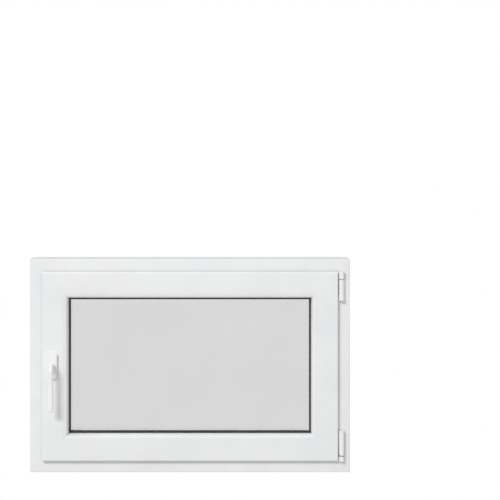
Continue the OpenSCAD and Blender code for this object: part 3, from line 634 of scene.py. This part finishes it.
def ring_tree():
    """Sweeps the profile in the piece's mesh round a rectangle, with true mitres."""
    tree, entry = start_group(
        "seal_round_a_rectangle", {"Path width": 0.5, "Path height": 0.5, "Path middle": 0.3}
    )
    profile = add(tree, "GeometryNodeMeshToCurve", links={"Mesh": entry["Geometry"]})
    path = add(
        tree,
        "GeometryNodeCurvePrimitiveQuadrilateral",
        links={"Width": entry["Path width"], "Height": entry["Path height"]},
    )
    upright = add(
        tree,
        "GeometryNodeSetCurveNormal",
        links={"Curve": path.outputs["Curve"]},
        mode="Z_UP",
    )
    kept = add(tree, "GeometryNodeCaptureAttribute", links={"Geometry": upright.outputs["Curve"]})
    kept.capture_items.new("VECTOR", "Corner")
    here = add(tree, "GeometryNodeInputPosition").outputs["Position"]
    tree.links.new(here, kept.inputs["Corner"])
    swept = add(
        tree,
        "GeometryNodeCurveToMesh",
        links={"Curve": kept.outputs["Geometry"], "Profile Curve": profile.outputs["Curve"]},
    )
    away = add(
        tree,
        "ShaderNodeVectorMath",
        operation="SUBTRACT",
        links={0: here, 1: kept.outputs["Corner"]},
    )
    # a mitred section is longer than the bar's own by the root of two
    root = math.sqrt(2)
    longer = add(
        tree,
        "ShaderNodeVectorMath",
        {1: (root, root, 1.0)},
        {0: away.outputs["Vector"]},
        operation="MULTIPLY",
    )
    mitred = add(
        tree,
        "ShaderNodeVectorMath",
        operation="ADD",
        links={0: kept.outputs["Corner"], 1: longer.outputs["Vector"]},
    )
    moved = add(
        tree,
        "GeometryNodeSetPosition",
        links={"Geometry": swept.outputs["Mesh"], "Position": mitred.outputs["Vector"]},
    )
    lift = add(tree, "ShaderNodeCombineXYZ", links={"Z": entry["Path middle"]})
    stood = add(
        tree,
        "GeometryNodeTransform",
        {"Rotation": (math.pi / 2, 0, 0)},
        {"Geometry": moved.outputs["Geometry"], "Translation": lift.outputs["Vector"]},
    )
    end_group(tree, stood.outputs["Geometry"], entry["Material"])
    return tree


RING_TREE = ring_tree()


def sweep(node, points):
    """A seal whose profile of (inset, depth) points runs round the box from low to high."""
    low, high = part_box(node)
    mesh = bpy.data.meshes.new(node)
    corners = [(-inset, depth, 0.0) for inset, depth in points]
    edges = [(i, (i + 1) % len(points)) for i in range(len(points))]
    mesh.from_pydata(corners, edges, [])
    piece = link(node + "_swept", mesh)
    run_group(
        piece,
        RING_TREE,
        {
            "Path width": high.x - low.x,
            "Path height": high.z - low.z,
            "Path middle": (low.z + high.z) / 2,
            "Material": SEAL_EPDM,
        },
    )
    piece.data.shade_smooth()
    piece.data.set_sharp_from_angle(angle=SEAL_CREASE)
    stand_for(piece, node)


def rounded(corners, radius, steps=3):
    """The closed outline through the corners, each rounded by up to the radius."""
    # two roundings on one side never meet
    most = 0.45
    outline = []
    count = len(corners)
    for i, here in enumerate(corners):
        here = Vector(here)
        ends = []
        for other in (Vector(corners[i - 1]), Vector(corners[(i + 1) % count])):
            away = other - here
            reach = min(radius, away.length * most)
            ends.append(here + away.normalized() * reach)
        for j in range(steps + 1):
            share = j / steps
            spot = ends[0] * (1 - share) ** 2 + here * 2 * share * (1 - share) + ends[1] * share**2
            outline.append((spot.x, spot.y))
    return outline


# a profile's insets are from its seal's own outer edge; its depths are in the shared frame
inner_low, inner_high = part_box("glazing_gasket_inner")
inner_from = WIDTH / 2 - inner_high.x
bead_inset = BEAD_EDGE - inner_from
sight_inset = SIGHT_EDGE - inner_from
inner_profile = [
    (0.0, inner_low.y),
    (0.0, inner_high.y),
    (sight_inset, inner_high.y),
    (sight_inset, inner_high.y - LIP_THICK),
    (bead_inset + SLOPE_RUN, inner_low.y + SLOPE_RISE),
    (bead_inset - TUCK, inner_low.y),
]
sweep("glazing_gasket_inner", rounded(inner_profile, SEAL_ROUND))

outer_low, outer_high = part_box("glazing_gasket_outer")
outer_from = WIDTH / 2 - outer_high.x
leg_inset = LEG_EDGE - outer_from
outer_sight_inset = OUTER_SIGHT_EDGE - outer_from
outer_profile = [
    (0.0, outer_low.y),
    (0.0, outer_high.y),
    (leg_inset - LEG_CHAMFER_INSET, outer_high.y),
    (leg_inset, outer_high.y - LEG_CHAMFER_DEPTH),
    (outer_sight_inset, outer_low.y + LIP_THICK),
    (outer_sight_inset, outer_low.y),
]
sweep("glazing_gasket_outer", rounded(outer_profile, SEAL_ROUND))


# ---------------------------------------------------------------- screws

# points this near an axis are on it, and points this far out are on the head
ON_AXIS = 0.1 * MM
HEAD_SHARE = 0.95
# shares of the head's radius and height, and of the shaft's radius
RIM_TOP = 0.97
RIM_HEIGHT = 0.45
CROWN_TOP = 0.7
CROWN_HEIGHT = 0.55
RECESS_LONG = 0.95
RECESS_SHORT = 0.22
RECESS_HEIGHT = 1.2
RECESS_MIDDLE = 0.95
SHAFT_TIP = 0.8
HEAD_SIDES = 40
SHAFT_SIDES = 20
SCREW_CREASE = math.radians(30)


def islands(mesh):
    """The loose parts of a mesh as lists of vertex places."""
    shape = bmesh.new()
    shape.from_mesh(mesh)
    bmesh.ops.remove_doubles(shape, verts=shape.verts, dist=WELD)
    # a dictionary keeps the vertices' order, so the screws come in the same order each time
    waiting = dict.fromkeys(shape.verts)
    found = []
    while waiting:
        first = next(iter(waiting))
        del waiting[first]
        reached = [first]
        part = []
        while reached:
            vert = reached.pop()
            part.append(vert.co.copy())
            for edge in vert.link_edges:
                other = edge.other_vert(vert)
                if other in waiting:
                    del waiting[other]
                    reached.append(other)
        found.append(part)
    shape.free()
    return found


def screw_of(part):
    """Seat, outward direction, shaft length, head radius, head height and shaft radius."""
    low = Vector([min(p[i] for p in part) for i in range(3)])
    high = Vector([max(p[i] for p in part) for i in range(3)])
    size = high - low
    axis = max(range(3), key=lambda i: size[i])
    middle = (low + high) / 2
    across = [i for i in range(3) if i != axis]
    reach = [math.hypot(*(p[i] - middle[i] for i in across)) for p in part]
    wide = [p[axis] for p, r in zip(part, reach) if r > max(reach) * HEAD_SHARE]
    thin = min(r for r in reach if r > ON_AXIS)
    sign = 1 if sum(wide) / len(wide) > middle[axis] else -1
    outward = Vector((0, 0, 0))
    outward[axis] = sign
    seat = middle.copy()
    seat[axis] = min(wide) if sign > 0 else max(wide)
    height = max(wide) - min(wide)
    return seat, outward, size[axis] - height, max(reach), height, thin


def screw_tree():
    """Cross-recessed pan-head screws on the piece's points, each along its own axis."""
    tree, entry = start_group(
        "pan_head_screws",
        {"Head radius": 3.4 * MM, "Head height": 1.1 * MM, "Shaft radius": 1.9 * MM},
    )
    radius = entry["Head radius"]
    height = entry["Head height"]

    def times(value, share):
        return add(
            tree, "ShaderNodeMath", {1: share}, {0: value}, operation="MULTIPLY"
        ).outputs["Value"]

    def raised(geometry, lift):
        offset = add(tree, "ShaderNodeCombineXYZ", links={"Z": lift}).outputs["Vector"]
        return add(
            tree, "GeometryNodeTransform", links={"Geometry": geometry, "Translation": offset}
        ).outputs["Geometry"]

    def disc(bottom, top, depth):
        return add(
            tree,
            "GeometryNodeMeshCone",
            {"Vertices": HEAD_SIDES},
            {"Radius Top": top, "Radius Bottom": bottom, "Depth": depth},
        ).outputs["Mesh"]

    def joined(one, two):
        made = add(tree, "GeometryNodeJoinGeometry")
        tree.links.new(one, made.inputs["Geometry"])
        tree.links.new(two, made.inputs["Geometry"])
        return made.outputs["Geometry"]

    def attribute(name, kind):
        return add(
            tree, "GeometryNodeInputNamedAttribute", {"Name": name}, data_type=kind
        ).outputs["Attribute"]

    rim_radius = times(radius, RIM_TOP)
    rim = disc(radius, rim_radius, times(height, RIM_HEIGHT))
    crown = disc(rim_radius, times(radius, CROWN_TOP), times(height, CROWN_HEIGHT))
    pan = add(
        tree,
        "GeometryNodeMergeByDistance",
        {"Distance": 0.001 * MM},
        {"Geometry": joined(rim, raised(crown, times(height, RIM_HEIGHT)))},
    ).outputs["Geometry"]
    head = add(tree, "GeometryNodeMeshBoolean", operation="DIFFERENCE", solver="EXACT")
    tree.links.new(pan, head.inputs["Mesh 1"])
    for long, short in ((RECESS_LONG, RECESS_SHORT), (RECESS_SHORT, RECESS_LONG)):
        size = add(
            tree,
            "ShaderNodeCombineXYZ",
            links={
                "X": times(radius, long),
                "Y": times(radius, short),
                "Z": times(height, RECESS_HEIGHT),
            },
        ).outputs["Vector"]
        wing = add(tree, "GeometryNodeMeshCube", links={"Size": size}).outputs["Mesh"]
        tree.links.new(raised(wing, times(height, RECESS_MIDDLE)), head.inputs["Mesh 2"])

    # a shaft one metre long that hangs below its seat, scaled to each screw's length
    shaft_radius = entry["Shaft radius"]
    shaft = add(
        tree,
        "GeometryNodeMeshCone",
        {"Vertices": SHAFT_SIDES, "Depth": 1.0},
        {"Radius Top": shaft_radius, "Radius Bottom": times(shaft_radius, SHAFT_TIP)},
    ).outputs["Mesh"]
    hung = add(
        tree, "GeometryNodeTransform", {"Translation": (0, 0, -1)}, {"Geometry": shaft}
    ).outputs["Geometry"]
    reach = add(
        tree,
        "ShaderNodeCombineXYZ",
        {"X": 1.0, "Y": 1.0},
        {"Z": attribute("length", "FLOAT")},
    ).outputs["Vector"]
    turned = add(
        tree,
        "FunctionNodeAlignRotationToVector",
        links={"Vector": attribute("outward", "FLOAT_VECTOR")},
        axis="Z",
    ).outputs["Rotation"]
    on_points = {"Points": entry["Geometry"], "Rotation": turned}
    heads = add(
        tree,
        "GeometryNodeInstanceOnPoints",
        links={**on_points, "Instance": head.outputs["Mesh"]},
    ).outputs["Instances"]
    shafts = add(
        tree,
        "GeometryNodeInstanceOnPoints",
        links={**on_points, "Instance": hung, "Scale": reach},
    ).outputs["Instances"]
    end_group(tree, joined(heads, shafts), entry["Material"])
    return tree


SCREW_TREE = screw_tree()


def screws(node):
    """Stands for a CAD node of plain screws with real heads at the same places."""
    found = [screw_of(part) for part in islands(frame["nodes"][node].data)]
    mesh = bpy.data.meshes.new(node)
    mesh.from_pydata([screw[0] for screw in found], [], [])
    mesh.attributes.new("outward", "FLOAT_VECTOR", "POINT")
    mesh.attributes.new("length", "FLOAT", "POINT")
    for i, (_, outward, length, *_) in enumerate(found):
        mesh.attributes["outward"].data[i].vector = outward
        mesh.attributes["length"].data[i].value = length
    head_radius, head_height, shaft_radius = found[0][3:]
    piece = link(node + "_crossed", mesh)
    run_group(
        piece,
        SCREW_TREE,
        {
            "Head radius": head_radius,
            "Head height": head_height,
            "Shaft radius": shaft_radius,
            "Material": ZINC,
        },
    )
    piece.data.set_sharp_from_angle(angle=SCREW_CREASE)
    stand_for(piece, node)


for node in ("frame_hardware_screws", "sash_hardware_screws", "handle_screws"):
    screws(node)


# ---------------------------------------------------------------- studio

CENTRE = Vector((0.0, (SILL_LOW.y + SILL_HIGH.y) / 2, HEIGHT / 2))
# how bright the studio is to the lens, through the glass, and as fill on the surfaces
TO_LENS = 1.0
THROUGH_GLASS = 0.80
AS_FILL = 0.56
FLOOR_HALF = 6.0
FLOOR_DROP = 0.5 * MM
KEY_PLACE = CENTRE + Vector((-4.6, -10.3, 7.2))
KEY_WIDTH = 3.6
KEY_HEIGHT = 2.6
KEY_WATTS = 832.0


def studio_level(tree):
    """The studio's brightness for each kind of ray."""
    ray = add(tree, "ShaderNodeLightPath").outputs
    seen = add(
        tree,
        "ShaderNodeMapRange",
        {"To Min": AS_FILL, "To Max": THROUGH_GLASS},
        {"Value": ray["Is Transmission Ray"]},
    ).outputs["Result"]
    return add(
        tree,
        "ShaderNodeMapRange",
        {"To Max": TO_LENS},
        {"Value": ray["Is Camera Ray"], "To Min": seen},
    ).outputs["Result"]


def glow(tree, shader, output):
    """Fills an empty tree with the studio's white light."""
    level = studio_level(tree)
    light = add(tree, shader, {"Color": srgb("#ffffff")}, {"Strength": level})
    add(tree, output, links={"Surface": light.outputs[0]})


world = bpy.data.worlds.new("white_studio")
bpy.context.scene.world = world
world.use_nodes = True
world.node_tree.nodes.clear()
glow(world.node_tree, "ShaderNodeBackground", "ShaderNodeOutputWorld")

paper = blank_material("paper_sweep_white")
glow(paper.node_tree, "ShaderNodeEmission", "ShaderNodeOutputMaterial")
floor_mesh = bpy.data.meshes.new("floor")
floor_corners = [
    (-FLOOR_HALF, -FLOOR_HALF, 0.0),
    (FLOOR_HALF, -FLOOR_HALF, 0.0),
    (FLOOR_HALF, FLOOR_HALF, 0.0),
    (-FLOOR_HALF, FLOOR_HALF, 0.0),
]
floor_mesh.from_pydata(floor_corners, [], [(0, 1, 2, 3)])
floor_mesh.materials.append(paper)
floor = link("floor", floor_mesh)
floor.location.z = -FLOOR_DROP


def softbox(name, place, target, width, height, power, colour):
    """An upright area light aimed at the target."""
    data = bpy.data.lights.new(name, "AREA")
    data.shape = "RECTANGLE"
    data.size = width
    data.size_y = height
    data.energy = power
    data.color = srgb(colour)[:3]
    lamp = bpy.data.objects.new(name, data)
    bpy.context.scene.collection.objects.link(lamp)
    lamp.location = place
    lamp.rotation_mode = "QUATERNION"
    lamp.rotation_quaternion = (target - place).to_track_quat("-Z", "Y")


softbox("key", KEY_PLACE, CENTRE, KEY_WIDTH, KEY_HEIGHT, KEY_WATTS, "#fffefc")

camera_data = bpy.data.cameras.new("camera")
camera_data.sensor_width = 36.0
camera_data.lens = 78.9
camera_data.shift_x = 0.12
camera_data.shift_y = -0.164
camera = bpy.data.objects.new("camera", camera_data)
bpy.context.scene.collection.objects.link(camera)
camera.location = (0.0, -3.118, 0.856)
camera.rotation_euler = (math.pi / 2, 0.0, 0.0)
bpy.context.scene.camera = camera
bpy.context.scene.view_settings.view_transform = "Standard"
